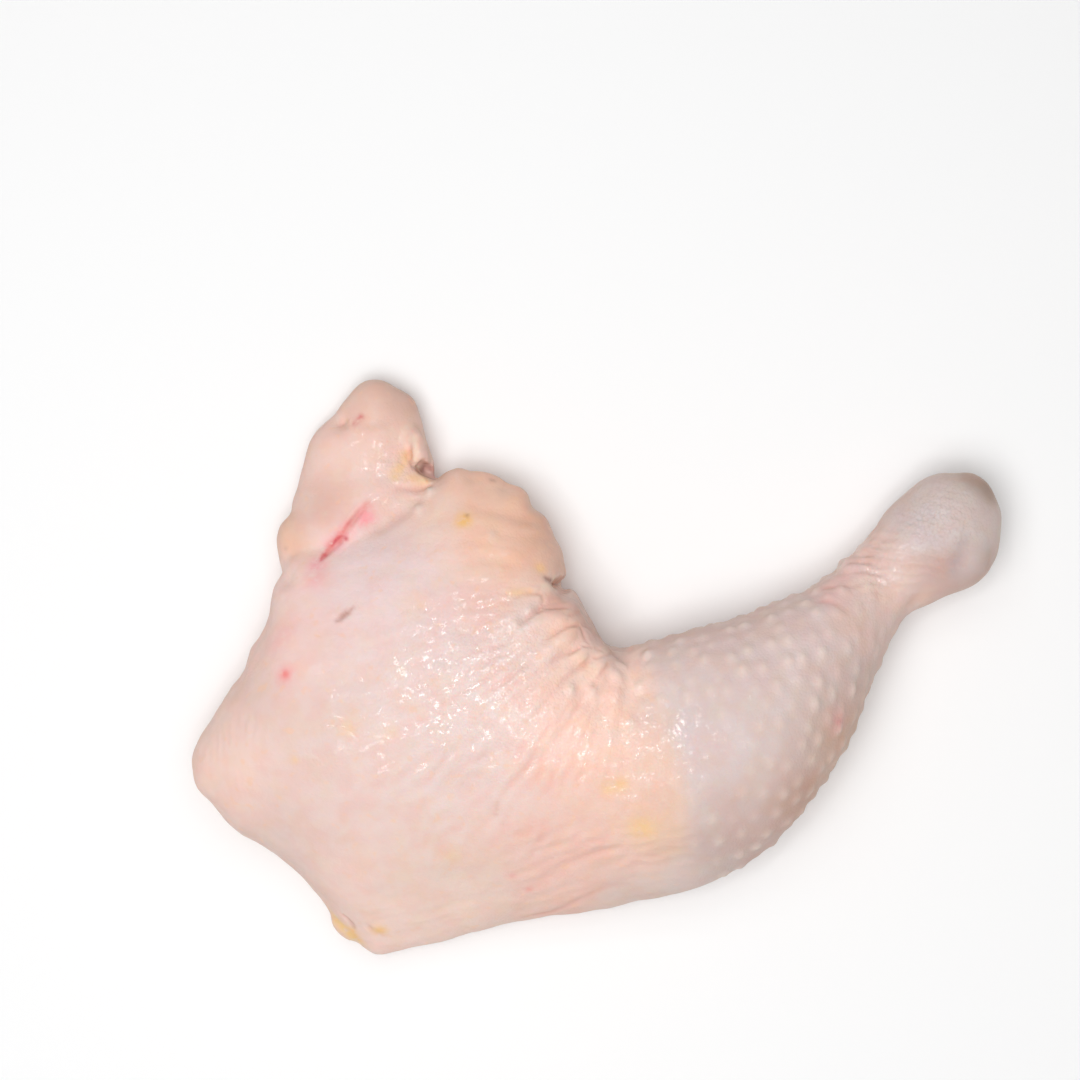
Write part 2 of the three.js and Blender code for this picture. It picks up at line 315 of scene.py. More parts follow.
CREASES = [
    # Fan of the knee
    ([(-12.8, 16.3), (-14.7, 14.2), (-18.2, 11.5), (-20.5, 9.5)], 0.55, 0.5),
    ([(-5.8, 14.8), (-8.9, 15), (-13.2, 15.2)], 0.5, 0.4),
    ([(-3, 10.4), (-7.3, 10.5), (-9.3, 9.3), (-11.2, 8.2), (-14, 6)], 0.5, 0.5),
    ([(-3.8, 10.5), (-2.2, 10.1), (-0.7, 8.2), (0.5, 6.6)], 0.45, 0.4),
    ([(-3.8, 5.4), (-5.4, 4.4), (-7.3, 3.5), (-9.7, 2.3), (-12, 0.5)], 0.5, 0.5),
    ([(-3.8, 5.4), (-1.9, 5.4), (0.1, 4.6), (1.7, 4.2)], 0.45, 0.4),
    ([(-1.1, 2.3), (-2.6, 0.7), (-7.4, -2.5), (-9.5, -5)], 0.5, 0.5),
    ([(-1.1, 2.3), (1.3, 2.9), (5.6, 3.1)], 0.45, 0.35),
    # Side wall of the knee's folds
    ([(-4, 10.5), (-3.4, 8.2), (-2.6, 6.6), (-0.7, 5)], 0.45, 0.35),
    ([(-1.9, 10.1), (0.5, 7.4), (2.8, 4.6)], 0.45, 0.35),
    ([(-7.3, 12.6), (-4.2, 13.6), (-2.2, 12.1), (-1.1, 11.7)], 0.45, 0.3),
    ([(3.2, 1.2), (1.2, -1.5), (-2, -6)], 0.6, 0.4),
    # Between the knee and the notch above it
    ([(-12.8, 18.3), (-16.5, 18.6), (-18.5, 18.3), (-22.2, 16.1)], 0.6, 0.4),
    ([(-13.6, 18.6), (-12.8, 16.3), (-13.8, 15.1)], 0.6, 0.4),
    # Lower knee
    ([(-18, -62.5), (-12, -61.4), (-8, -59.5), (1, -55), (3.5, -54.4), (9, -54)], 0.8, 0.45),
    ([(5.4, -44.5), (1, -45.7), (-4.4, -47.4), (-8, -49)], 0.7, 0.2),
    ([(3.2, -42.7), (-3.5, -43.2), (-10.6, -44), (-13, -45.7)], 0.7, 0.15),
    # Slit in the thigh
    ([(-64.6, 11.5), (-62.6, 13), (-60.6, 14.5)], 0.8, 0.4),
    # Nib of fat
    ([(-63.5, -61.5), (-61.5, -63), (-60, -65.5)], 0.7, 0.6),
    ([(-57, -64.2), (-55, -66.2), (-52, -67)], 0.8, 0.4),
    # Flap
    ([(-46.9, 54), (-46.3, 51.1), (-45.1, 48.5)], 0.6, 0.8),
    ([(-41.3, 45.2), (-45.2, 44), (-50.6, 44.5)], 0.7, 0.6),
    ([(-65, 60.2), (-63.4, 61.4), (-62, 62.2)], 0.6, 0.3),
    ([(-58, 39.5), (-61.3, 35), (-63.5, 31.5), (-67, 27.8), (-70, 25)], 0.7, 0.7),
    # Ankle
    ([(68.7, 32), (73, 31.2), (79, 29.8)], 0.9, 0.2),
    ([(65, 29.4), (70, 29.2), (76, 27.7)], 0.9, 0.2),
    ([(64, 26.2), (70, 26.6), (77, 26)], 0.9, 0.2),
    ([(60, 23.9), (63, 23.7), (69.5, 22.6)], 0.9, 0.2),
    ([(55, 19.9), (58, 20.2), (65, 20)], 0.8, 0.4),
    ([(55, 16.8), (58.8, 15.8), (63, 13.2)], 0.8, 0.45),
]
LINE_STEP = 0.5
LEAST_POINTS = 3
CORNER_EASING = 6
# The share of its depth that a line has at its very start, how fast it gains depth there and loses it at its
# end, and the share that is left as it nears its end.
LINE_START = 0.2
LINE_GAIN = 6
LINE_LOSS = 5
LINE_TAIL = 0.32
eye = viewer.location


def path_through(corners, step):
    """Points along straight stretches, a step apart, with the corners eased."""
    ways = [math.dist(a, b) for a, b in zip(corners, corners[1:])]
    marks = np.concatenate([[0], np.cumsum(ways)])
    along = np.linspace(0, marks[-1], max(LEAST_POINTS, round(marks[-1] / step)))
    line = np.column_stack([np.interp(along, marks, np.array(corners)[:, i]) for i in (0, 1)])
    for _ in range(CORNER_EASING):
        line[1:-1] = 0.5 * line[1:-1] + 0.25 * (line[:-2] + line[2:])
    return line


def on_skin(place):
    """The point of the skin that the camera sees at a plan position in millimetres, or None."""
    target = Vector((place[0] * MM, place[1] * MM, OUTLINE_HEIGHT))
    return flesh_surface.ray_cast(eye, (target - eye).normalized())[0]


def skin_lines(name, lines):
    """Lines laid on the skin, each point with its half width and depth."""
    points = []
    edges = []
    widths = []
    depths = []
    for corners, half_width, depth in lines:
        line = path_through(corners, LINE_STEP)
        last = None
        for share, place in zip(np.linspace(0, 1, len(line)), line):
            hit = on_skin(place)
            if hit is None:
                continue
            tail = LINE_TAIL + (1 - LINE_TAIL) * (1 - share) ** 2
            ends = min(1, LINE_START + LINE_GAIN * share, LINE_LOSS - LINE_LOSS * share)
            points.append(hit)
            widths.append(half_width * MM)
            depths.append(depth * MM * tail * ends)
            if last is not None:
                edges.append((last, len(points) - 1))
            last = len(points) - 1
    laid = bare_object(name, bpy.data.meshes.new(name))
    laid.data.from_pydata(points, edges, [])
    keep_layer(laid.data, "half_width", widths)
    keep_layer(laid.data, "depth", depths)
    return laid


valleys = skin_lines("valleys", VALLEYS)
creases = skin_lines("creases", CREASES)

# Relief of the skin
# Follicles, valleys, creases, swellings, bands of fine wrinkles and the soft unevenness of the flesh move the
# skin in and out. What meets the table stays flat.

# Bands of fine wrinkles: middle, reach along and across, heading of the lines, pitch and height. Lengths are
# in millimetres and headings in degrees.
WRINKLE_BANDS = [
    ((-4, -44), (24, 11), 206, 3.3, 0.13),  # lower knee
    ((12, -46), (11, 8), 188, 2.7, 0.13),  # below the knee's fat
    ((70, 27), (13, 8), 174, 2.4, 0.18),  # ankle
    ((79, 38), (10, 8), 158, 1.7, 0.12),  # knuckle
    ((-88, -18), (11, 9), 97, 2.1, 0.14),  # cut corner
    ((-36, -58), (26, 8), 12, 2.6, 0.07),  # lower edge of the thigh
]
WRINKLE_WAVER = 4
WRINKLE_EVENNESS = 0.8
# Lines that fan out over the thigh from a pivot beyond the bend of the knee, and start some way off it.
FAN_PIVOT = (14, 22.5)
FAN_MIDDLE = (-19, -12)
FAN_REACH = (42, 30)
FAN_HEADING = 222
FAN_PITCH = math.radians(3.5)
FAN_START = (24, 46)
FAN_HEIGHT = 0.13
FAN_WAVER = 3
FAN_EVENNESS = 0.6
# Wrinkles and fan lines waver and come in patches, on the upper side alone. Sizes are in millimetres, and a
# slope is how far the skin faces up, from -1 to 1.
WAVER_SIZE = 9
PATCH_SIZE = 12
UPPER_SLOPE = (0.1, 0.6)
FREE_SLOPE = (-0.95, -0.6)
# Soft lumps all over the flesh and smaller ripples, which are higher in wet places.
UNEVEN_DETAIL = 2.0
LUMP_SIZE = 26
LUMP_HEIGHT = 0.9
RIPPLE_SIZE = 5.5
RIPPLE_HEIGHT = 0.12
WET_RIPPLE_HEIGHT = 0.18
# Wet places, where the skin is thin and rippled, and the knuckle, where it is grained like a fingertip: plan
# position, reach and strength.
WET_PLACES = [
    ((-28, -3), 29, 1.0), ((5, -15), 19, 0.85), ((-51.5, 50.5), 8, 0.9), ((-51, 41), 5, 0.7),
    ((18, -15), 8, 0.8), ((68, 23), 9, 0.9), ((76, 31), 6, 0.6),
]
GRAINED_PLACES = [((82, 37), 12, 1.2)]
WET_LEAST = 0.12
GRAINED_LEAST = 0.35
# A low lip of pushed-up skin runs beside each line: its share of the depth, and its place in half widths.
LIP_SHARE = 0.35
LIP_PLACE = 2.2
FOLLICLE_LENGTH = 1.9 * MM
FOLLICLE_WIDTH = 1.35 * MM
FOLLICLE_HEADING = math.radians(97)
# The flat underside has few faces.
FLAT_HEIGHT = 0.05 * MM
FACES_WANTED = 190000


class Wire:
    """An output of a node. Arithmetic on wires adds Math nodes to the tree that they are in."""

    def __init__(self, socket):
        self.socket = socket

    @staticmethod
    def node(tree, kind, settings=None, sockets=None, output=0):
        """Adds a node with its settings, then its socket values or links, and gives one of its outputs."""
        made = tree.nodes.new(kind)
        for name, value in (settings or {}).items():
            setattr(made, name, value)
        for key, value in (sockets or {}).items():
            if isinstance(value, Wire):
                tree.links.new(value.socket, made.inputs[key])
            else:
                made.inputs[key].default_value = value
        return Wire(made.outputs[output]) if made.outputs else None

    def math(self, operation, *others):
        """This wire and the others through one Math node."""
        sockets = dict(enumerate((self, *others)))
        return Wire.node(self.socket.id_data, "ShaderNodeMath", {"operation": operation}, sockets)

    def reflected(self, operation, other):
        """A number and then this wire through one Math node."""
        sockets = {0: other, 1: self}
        return Wire.node(self.socket.id_data, "ShaderNodeMath", {"operation": operation}, sockets)

    def __add__(self, other):
        return self.math("ADD", other)

    def __sub__(self, other):
        return self.math("SUBTRACT", other)

    def __rsub__(self, other):
        return self.reflected("SUBTRACT", other)

    def __mul__(self, other):
        return self.math("MULTIPLY", other)

    def __truediv__(self, other):
        return self.math("DIVIDE", other)

    def __rtruediv__(self, other):
        return self.reflected("DIVIDE", other)

    __radd__ = __add__
    __rmul__ = __mul__

    def hill(self, spread):
        """1 where this wire is 0, falling away smoothly over the spread."""
        share = self / spread
        return (share * share * -1).math("EXPONENT")

    def between(self, low, high):
        """0 where this wire is low, 1 where it is high, and smooth in between."""
        settings = {"interpolation_type": "SMOOTHSTEP"}
        return Wire.node(self.socket.id_data, "ShaderNodeMapRange", settings, {0: self, 1: low, 2: high})


keep_layer(leg.data, "wet", spread_over(flesh_points, WET_PLACES, WET_LEAST))
keep_layer(leg.data, "grained", spread_over(flesh_points, WET_PLACES + GRAINED_PLACES, GRAINED_LEAST))
keep_layer(leg.data, "knuckle", spread_over(flesh_points, GRAINED_PLACES))

relief = bpy.data.node_groups.new("skin_relief", "GeometryNodeTree")
for name, kind in (
    ("Geometry", "NodeSocketGeometry"),
    ("Follicles", "NodeSocketObject"),
    ("Valleys", "NodeSocketObject"),
    ("Creases", "NodeSocketObject"),
    ("Follicle Length", "NodeSocketFloat"),
    ("Follicle Width", "NodeSocketFloat"),
    ("Skin", "NodeSocketMaterial"),
):
    relief.interface.new_socket(name, in_out="INPUT", socket_type=kind)
relief.interface.new_socket("Geometry", in_out="OUTPUT", socket_type="NodeSocketGeometry")


def relief_node(kind, settings=None, sockets=None, output=0):
    return Wire.node(relief, kind, settings, sockets, output)


def given(name):
    return relief_node("NodeGroupInput", output=name)


def vector_maths(operation, *vectors, output=0):
    return relief_node("ShaderNodeVectorMath", {"operation": operation}, dict(enumerate(vectors)), output)


def named_layer(name):
    return relief_node("GeometryNodeInputNamedAttribute", {"data_type": "FLOAT"}, {"Name": name})


def nearest(target, element, output):
    return relief_node("GeometryNodeProximity", {"target_element": element}, {0: target}, output)


def nearest_value(target, name):
    """A layer's value at the target's nearest point."""
    index = relief_node("GeometryNodeSampleNearest", sockets={0: target})
    sockets = {0: target, "Value": named_layer(name), "Index": index}
    return relief_node("GeometryNodeSampleIndex", {"data_type": "FLOAT"}, sockets)


def unevenness(size, shift=0.0):
    """Smooth noise round 0 with lumps of a size in millimetres. A shift makes it unlike the others."""
    moved = vector_maths("ADD", position, (shift * MM,) * 3)
    sockets = {"Vector": moved, "Scale": 1 / (size * MM), "Detail": UNEVEN_DETAIL}
    return relief_node("ShaderNodeTexNoise", {"normalize": False}, sockets)


def oval_zone(middle, reach, heading):
    """A zone that falls away over its reach along and across a heading, and the way across it."""
    turn = math.radians(heading)
    along = (x - middle[0]) * math.cos(turn) + (y - middle[1]) * math.sin(turn)
    across = (y - middle[1]) * math.cos(turn) - (x - middle[0]) * math.sin(turn)
    return along.hill(reach[0]) * across.hill(reach[1]), across


position = relief_node("GeometryNodeInputPosition")
normal = relief_node("GeometryNodeInputNormal")
x, y = (relief_node("ShaderNodeSeparateXYZ", sockets={0: position}, output=axis) / MM for axis in range(2))
slope = relief_node("ShaderNodeSeparateXYZ", sockets={0: normal}, output=2)
upper_side = slope.between(*UPPER_SLOPE)
free_skin = slope.between(*FREE_SLOPE)
waver = unevenness(WAVER_SIZE, shift=90)
patchy = unevenness(PATCH_SIZE, shift=140)

height = named_layer("swell") + unevenness(LUMP_SIZE) * LUMP_HEIGHT
ripple_height = named_layer("wet") * WET_RIPPLE_HEIGHT + RIPPLE_HEIGHT
height = height + unevenness(RIPPLE_SIZE, shift=40) * ripple_height
for middle, reach, heading, pitch, rise in WRINKLE_BANDS:
    zone, across = oval_zone(middle, reach, heading)
    wave = (across * (2 * math.pi / pitch) + waver * WRINKLE_WAVER).math("SINE")
    height = height + wave * zone * (patchy + WRINKLE_EVENNESS) * upper_side * rise
fan_zone, _ = oval_zone(FAN_MIDDLE, FAN_REACH, FAN_HEADING)
fan_across = FAN_PIVOT[0] - x
fan_up = FAN_PIVOT[1] - y
fan_away = (fan_across * fan_across + fan_up * fan_up).math("SQRT")
fan_angle = fan_up.math("ARCTAN2", fan_across)
fan_wave = (fan_angle * (2 * math.pi / FAN_PITCH) + waver * FAN_WAVER).math("SINE")
fan_share = fan_zone * (patchy + FAN_EVENNESS) * upper_side * fan_away.between(*FAN_START)
height = height + fan_wave * fan_share * FAN_HEIGHT


def geometry_of(name):
    """The geometry of the object that an input gives."""
    return relief_node("GeometryNodeObjectInfo", sockets={"Object": given(name)}, output="Geometry")


def grooved(name):
    """The height that an object's lines give the skin, and their share of it at each point."""
    target = geometry_of(name)
    depth = nearest_value(target, "depth")
    away = nearest(target, "EDGES", "Distance") / nearest_value(target, "half_width")
    share = away.hill(1)
    lip = (away - LIP_PLACE).hill(1)
    return depth * (lip * LIP_SHARE - share), share * (depth / MM).math("MINIMUM", 1.0)


valley_height, valley_share = grooved("Valleys")
crease_height, crease_share = grooved("Creases")

follicle_target = geometry_of("Follicles")
follicle_gap = vector_maths("SUBTRACT", position, nearest(follicle_target, "POINTS", "Position"))
follicle_heading = (math.cos(FOLLICLE_HEADING), math.sin(FOLLICLE_HEADING), 0)
follicle_along = vector_maths("DOT_PRODUCT", follicle_gap, follicle_heading, output="Value")
follicle_away = vector_maths("LENGTH", follicle_gap, output="Value")
follicle_across = (follicle_away * follicle_away - follicle_along * follicle_along).math("SQRT")
follicle_share = follicle_along.hill(given("Follicle Length"))
follicle_share = follicle_share * follicle_across.hill(given("Follicle Width"))
follicle_rise = nearest_value(follicle_target, "height")

rise = (height * MM + valley_height + crease_height + follicle_share * follicle_rise) * free_skin
offset = relief_node("ShaderNodeVectorMath", {"operation": "SCALE"}, {0: normal, "Scale": rise})
shaped = given("Geometry")
kept_as = {"data_type": "FLOAT", "domain": "POINT"}
for name, value in (
    ("valley", valley_share),
    ("crease", crease_share),
    ("fan_line", (1 - fan_wave) / 2 * fan_share),
    ("follicle", follicle_share * follicle_rise / FOLLICLE_HEIGHT),
):
    sockets = {0: shaped, "Name": name, "Value": value}
    shaped = relief_node("GeometryNodeStoreNamedAttribute", kept_as, sockets)
shaped = relief_node("GeometryNodeSetPosition", sockets={0: shaped, "Offset": offset})
shaped = relief_node("GeometryNodeRealizeInstances", sockets={0: shaped})
shaped = relief_node("GeometryNodeSetMaterial", sockets={0: shaped, "Material": given("Skin")})
relief_node("NodeGroupOutput", sockets={0: shaped})

skin = bpy.data.materials.new("raw_skin")
relief_values = {
    "Follicles": follicles,
    "Valleys": valleys,
    "Creases": creases,
    "Follicle Length": FOLLICLE_LENGTH,
    "Follicle Width": FOLLICLE_WIDTH,
    "Skin": skin,
}
relief_modifier = leg.modifiers.new("relief", "NODES")
relief_modifier.node_group = relief
for item in relief.interface.items_tree:
    if item.in_out == "INPUT" and item.name in relief_values:
        relief_modifier[item.identifier] = relief_values[item.name]
baked(leg)
for helper in (follicles, valleys, creases):
    bpy.data.objects.remove(helper)

pressed_flat = leg.vertex_groups.new(name="pressed_flat")
pressed_flat.add(np.flatnonzero(points_of(leg.data)[:, 2] < FLAT_HEIGHT).tolist(), 1.0, "REPLACE")
thinned = leg.modifiers.new("thinned", "DECIMATE")
thinned.ratio = min(1, FACES_WANTED / sum(len(face.vertices) - 2 for face in leg.data.polygons))
thinned.vertex_group = "pressed_flat"
baked(leg)
leg.vertex_groups.clear()
skin_points = points_of(leg.data)
skin_points[:, 2] = np.maximum(skin_points[:, 2], 0)
leg.data.vertices.foreach_set("co", skin_points.ravel())
leg.data.update()
leg.data.polygons.foreach_set("use_smooth", [True] * len(leg.data.polygons))

# Colour of the skin
# Thin skin shows pale pink flesh, yellow fat and lilac muscle through it, and keeps a few bruises. Some tints
# are painted shade where the skin falls away at edges, walls and valleys. Each place has a plan position and
# a reach in millimetres, and a colour as screen red, green and blue.

SKIN_TINTS = [
    ((-36, -8), 26, (235, 214, 209)),  # middle of the thigh
    ((-66, -24), 22, (231, 205, 198)),  # thigh towards the hip
    ((-38, -54), 14, (234, 209, 197)),  # lower thigh
    ((-91, -23), 12, (246, 212, 200)),  # cut corner
    ((-62, -56), 10, (240, 210, 200)),
    ((-48, -67), 7, (252, 220, 209)),
    ((-67, -16), 8, (222, 198, 191)),  # painted shade in a shallow valley beside the corner
    ((-77, 8), 12, (242, 206, 198)),  # left edge
    ((-75, 20), 6, (255, 222, 216)),
    ((-75, -9), 7, (230, 200, 192)),
    ((-56, 18), 16, (239, 214, 213)),  # above the middle
    ((-41, 15), 7, (234, 207, 203)),
    ((-30, 14), 6, (234, 196, 188)),
    ((-4, -10), 14, (255, 215, 199)),  # knee
    ((10, -30), 12, (238, 204, 187)),  # yellow side of the knee
    ((-8.5, 9.5), 3.5, (255, 218, 199)),  # folds of the knee
    ((-3, 1), 3.5, (255, 224, 206)),
    ((-10, 16.5), 2.5, (214, 166, 152)),
    ((12, -11), 3.5, (224, 198, 188)),  # where the fat under the knee's skin ends
    ((13.8, -19.5), 3.5, (239, 202, 186)),
    ((16.3, -27), 3.5, (236, 200, 182)),
    ((17.5, -34), 3.5, (233, 197, 176)),
    ((17, -41), 4, (226, 196, 176)),
    ((17, 3), 5, (216, 196, 192)),  # calf beside it
    ((19.5, -7), 4, (216, 201, 201)),
    ((21.5, -16), 4, (219, 203, 205)),
    ((24, -26), 4, (216, 201, 200)),
    ((25.5, -34), 4, (212, 200, 197)),
    ((26, -42), 4, (204, 187, 183)),
    ((30, -47), 5, (205, 190, 187)),
    ((31, -19), 6, (220, 202, 200)),
    ((33, -35), 6, (209, 187, 182)),
    ((-3.5, 15), 3.5, (200, 170, 160)),  # painted shade on the side wall of the knee's folds
    ((-0.5, 10), 3.5, (197, 170, 163)),
    ((3.5, 4.5), 3, (194, 170, 165)),
    ((-8, -42), 14, (237, 200, 188)),  # lower knee
    ((8, -57), 6, (222, 201, 193)),  # lower edge
    ((24, -52), 6, (222, 205, 199)),
    ((-36, -62), 7, (248, 218, 207)),
    ((-22, 32), 12, (243, 200, 177)),  # back lobe
    ((-12, 34), 7, (228, 178, 156)),  # rim of the lobe: orange, with painted shade where it turns down
    ((-60, 52), 13, (240, 206, 195)),  # flap
    ((-66, 40), 5, (222, 188, 174)),
    ((-55, 35), 4, (223, 199, 194)),
    ((-51, 38), 5, (230, 199, 190)),
    ((-42, 37), 5, (246, 216, 202)),
    ((-55, 68), 8, (226, 190, 174)),  # tip of the flap, with painted shade along its edge
    ((-49, 66), 4, (210, 172, 158)),
    ((-76, 31), 5, (230, 189, 169)),  # root of the flap
    ((34, -16), 15, (213, 197, 194)),  # calf
    ((36, -40), 12, (203, 176, 168)),  # painted shade under the calf
    ((40, 10), 13, (218, 197, 194)),  # upper side of the drumstick
    ((60, -20), 11, (204, 168, 147)),  # painted shade on the outer side of the drumstick
    ((46, -20), 8, (208, 186, 180)),
    ((49, -31), 6, (193, 147, 125)),
    ((57, -5), 7, (213, 192, 186)),
    ((71, 19), 10, (226, 200, 192)),  # ankle
    ((80, 40), 6, (214, 199, 198)),  # knuckle
    ((88, 38), 7, (213, 198, 193)),
    ((81, 32.5), 5, (210, 197, 198)),
    ((83.5, 25), 5, (201, 169, 161)),
    ((91, 26), 4, (205, 190, 189)),
    ((92.5, 47), 3, (172, 146, 132)),  # end of the knuckle, darker brown along its edge as painted shade
    ((97, 44.5), 3, (152, 124, 106)),
    ((99.5, 34), 5, (218, 204, 199)),
    ((95.5, 22), 5, (196, 168, 157)),
]
# What shows in and under the skin, and painted shadow in the pocket of the flap and in the notch above the
# knee: a colour, then paths or single places with their reach and strength.
SKIN_MARKS = {
    "glow": ((244, 152, 160), [
        ([(-57.3, 37)], 2.6, 0.85), ([(-62, 34), (-66, 29.5)], 2.4, 0.5), ([(-69.2, 25.4)], 2.4, 0.7),
        ([(-69.7, 21.7)], 3.2, 0.4), ([(-77.3, -1.8)], 2.6, 0.4), ([(-78.6, 7.5)], 4, 0.2),
        ([(60, -13.6)], 3.0, 0.3), ([(-66, 38)], 5, 0.15), ([(57, 18), (64, 26)], 4, 0.15),
    ]),
    "fat": ((241, 200, 140), [
        ([(-64.5, -62.5), (-60, -67)], 2.4, 1.0), ([(-54, -65.5)], 2.0, 0.6), ([(-33, 36.3)], 2.0, 1.0),
        ([(-47.2, 52.6), (-48.6, 49.8), (-50.1, 47.4)], 1.5, 0.65),
        ([(-46, 46.8), (-42.4, 46.2)], 1.7, 0.55), ([(11.4, -39.8)], 3.6, 0.75),
        ([(2.7, -30), (6, -29)], 1.8, 0.6), ([(-61.7, -15)], 2.6, 0.4),
        ([(-51, -16)], 1.8, 0.3), ([(-36, -47)], 2.4, 0.35), ([(-14, 24.7)], 1.4, 0.5),
        ([(-45, 16)], 3, 0.25), ([(-75.5, 31)], 3.5, 0.15), ([(-21.5, 18.3), (-16.5, 18.8)], 1.0, 0.5),
        ([(-75, -23)], 1.0, 0.5),
    ]),
    "streak": ((226, 134, 128), [
        (
            [(-56.8, 40.3), (-59.5, 37.5), (-61.7, 35.2), (-63.6, 32.8), (-66.1, 29.9), (-67.5, 27.7)],
            0.95,
            0.8,
        ),
    ]),
    "bruise": ((206, 82, 92), [
        ([(-65.7, 30.3), (-64.6, 31.7), (-62.8, 32.7), (-62.2, 31.8)], 0.55, 1.0), ([(-64, 31.3)], 1.1, 0.5),
        ([(-67.5, 27.7), (-68.5, 26.6)], 0.75, 0.75), ([(-61.7, 35.3), (-60.9, 36.2)], 0.5, 0.5),
        ([(-60, 60.6), (-58.6, 62)], 0.8, 0.8), ([(60, -13.6)], 1.4, 0.15),
        ([(-13.3, 15.4), (-17, 12.7)], 0.6, 0.4),
    ]),
    "rosy": ((238, 118, 112), [
        ([(-77.3, -1.8)], 1.2, 0.65), ([(-16.8, -55.3)], 0.9, 0.4), ([(-21, -51.9)], 0.8, 0.35),
    ]),
    "rust": ((190, 138, 124), [
        ([(-63.4, 12.5), (-62, 13.5)], 0.95, 0.8), ([(-64.6, 11.6), (-60.5, 14.6)], 0.55, 0.55),
        ([(-24.9, -34), (-24.9, -36.4)], 0.8, 0.3), ([(-61.8, -62.6), (-60.4, -64.6)], 0.7, 0.6),
    ]),
    "amber": ((246, 188, 108), [
        ([(-33, 36.3)], 1.7, 0.75), ([(-53.8, -65.3)], 1.5, 0.5), ([(-60.5, -65.5), (-59.5, -67)], 1.5, 0.7),
        ([(-14, 24.7)], 1.2, 0.4), ([(-46.6, 52), (-48, 50)], 0.8, 0.15),
    ]),
    # Brown dots on the flap, the lobe and its rim, and painted shadow in the pocket under the curled flap and
    # inside the notch above the knee.
    "dark": ((150, 104, 92), [
        ([(-76.8, 29.6)], 0.6, 0.6), ([(-32.3, 37.4)], 0.6, 0.6), ([(-12.4, 21.9), (-11.4, 21.3)], 0.9, 1.0),
        ([(-25.9, 46.4)], 0.8, 0.5), ([(-46.2, 50.8), (-45, 48.7), (-43, 47.6), (-40.3, 46.6)], 0.6, 0.75),
        ([(-47.2, 53.1)], 0.5, 0.5), ([(-44, 48.2), (-43.3, 49.2), (-42.6, 50.2)], 1.1, 0.9),
    ]),
    # Lilac underside of the flap in its pocket, darkened with painted shade.
    "lilac": ((182, 142, 136), [([(-41.6, 49.4), (-40.4, 47.6)], 1.4, 0.9)]),
    "slate": ((186, 172, 172), [([(88.2, 24.2), (89.6, 27.5), (90.6, 31)], 2.0, 0.6)]),
    "pale": ((234, 210, 190), [
        ([(-45.6, 56.6), (-44.8, 53), (-44.6, 49.6)], 1.2, 0.8), ([(-13, 20), (-11, 19.8)], 1.0, 0.9),
        ([(-10.8, 21.5), (-10, 20.4)], 1.3, 1.0),
    ]),
}
SCREEN_FULL = 255
# Far from every place the mean of all tints shows.
TINT_LEAST = 1e-9
# How far skin may face up or down and still count as a side, which gets painted shade.
SIDE_SPREAD = 0.5
# Amber specks of fat show in the skin of the thigh and the knee, and end where the drumstick begins.
SPECK_END = 18
SPECK_FADE = 4


def screen_colour(red, green, blue):
    """A screen colour as the light that it stands for."""
    shown = Color((red / SCREEN_FULL, green / SCREEN_FULL, blue / SCREEN_FULL))
    return np.array(shown.from_srgb_to_scene_linear())


def around(spot, reach):
    """1 at a spot on the skin, falling to nothing a little beyond its reach in millimetres."""
    away = (skin_points - np.array(spot)) / (reach * MM)
    return np.exp(-(away ** 2).sum(axis=1))


weights = np.array([in_plan(skin_points, place, reach) + TINT_LEAST for place, reach, _ in SKIN_TINTS])
tints = np.array([screen_colour(*colour) for _, _, colour in SKIN_TINTS])
tint = (weights.T @ tints) / weights.sum(axis=0)[:, None]
tint_layer = leg.data.attributes.new("tint", "FLOAT_COLOR", "POINT")
tint_layer.data.foreach_set("color", np.column_stack([tint, np.ones(len(tint))]).astype(np.float32).ravel())
for name, (_, marks) in SKIN_MARKS.items():
    mark = np.zeros(len(skin_points))
    for corners, reach, strength in marks:
        line = path_through(corners, LINE_STEP) if len(corners) > 1 else corners
        for spot in filter(None, map(on_skin, line)):
            mark = np.maximum(mark, strength * around(spot, reach))
    keep_layer(leg.data, name, mark)
# Which skin faces sideways, for the painted shade on the sides.
keep_layer(leg.data, "side", np.exp(-(normals_of(leg.data)[:, 2] / SIDE_SPREAD) ** 2))
keep_layer(leg.data, "specked", 1 / (1 + np.exp((skin_points[:, 0] / MM - SPECK_END) / SPECK_FADE)))

# Finish of the skin
# Moist, slightly see-through skin: uneven colour, paler tops on the follicles, red and painted shade in the
# creases, painted shade on its sides and between the knuckle's cells, fine grain and a thin wet film that
# glints, mostly over the thigh and the knee.

# Colours are screen red, green and blue, and a share is the most that a colour covers. Sizes are in
# millimetres, and a range is where a grain of that size begins to show and where it is whole.
# Painted shade darkens the sides of the skin to tan.
SIDE_SHADE_TAN = (214, 178, 158)
SIDE_SHADE_SHARE = 0.45
BLUSH_PINK = (255, 249, 248)
BLUSH_SIZE = 7
BLUSH_RANGE = (0.42, 0.62)
PATCH_CREAM = (255, 254, 249)
CREAM_SIZE = 5
CREAM_RANGE = (0.45, 0.65)
LINE_PINK = (255, 242, 239)
SPECK_AMBER = (244, 196, 160)
SPECK_SIZE = 2.6
SPECK_RANGE = (0.62, 0.78)
SPECK_SHARE = 0.35
# Painted shade in the hollows between the knuckle's grained cells.
CELL_SHADE_GREY = (186, 164, 158)
CELL_RANGE = (0.1, 0.5)
CELL_SHADE_SHARE = 0.2
FOLLICLE_CREAM = (230, 212, 201)
CREAM_SHARE = 0.42
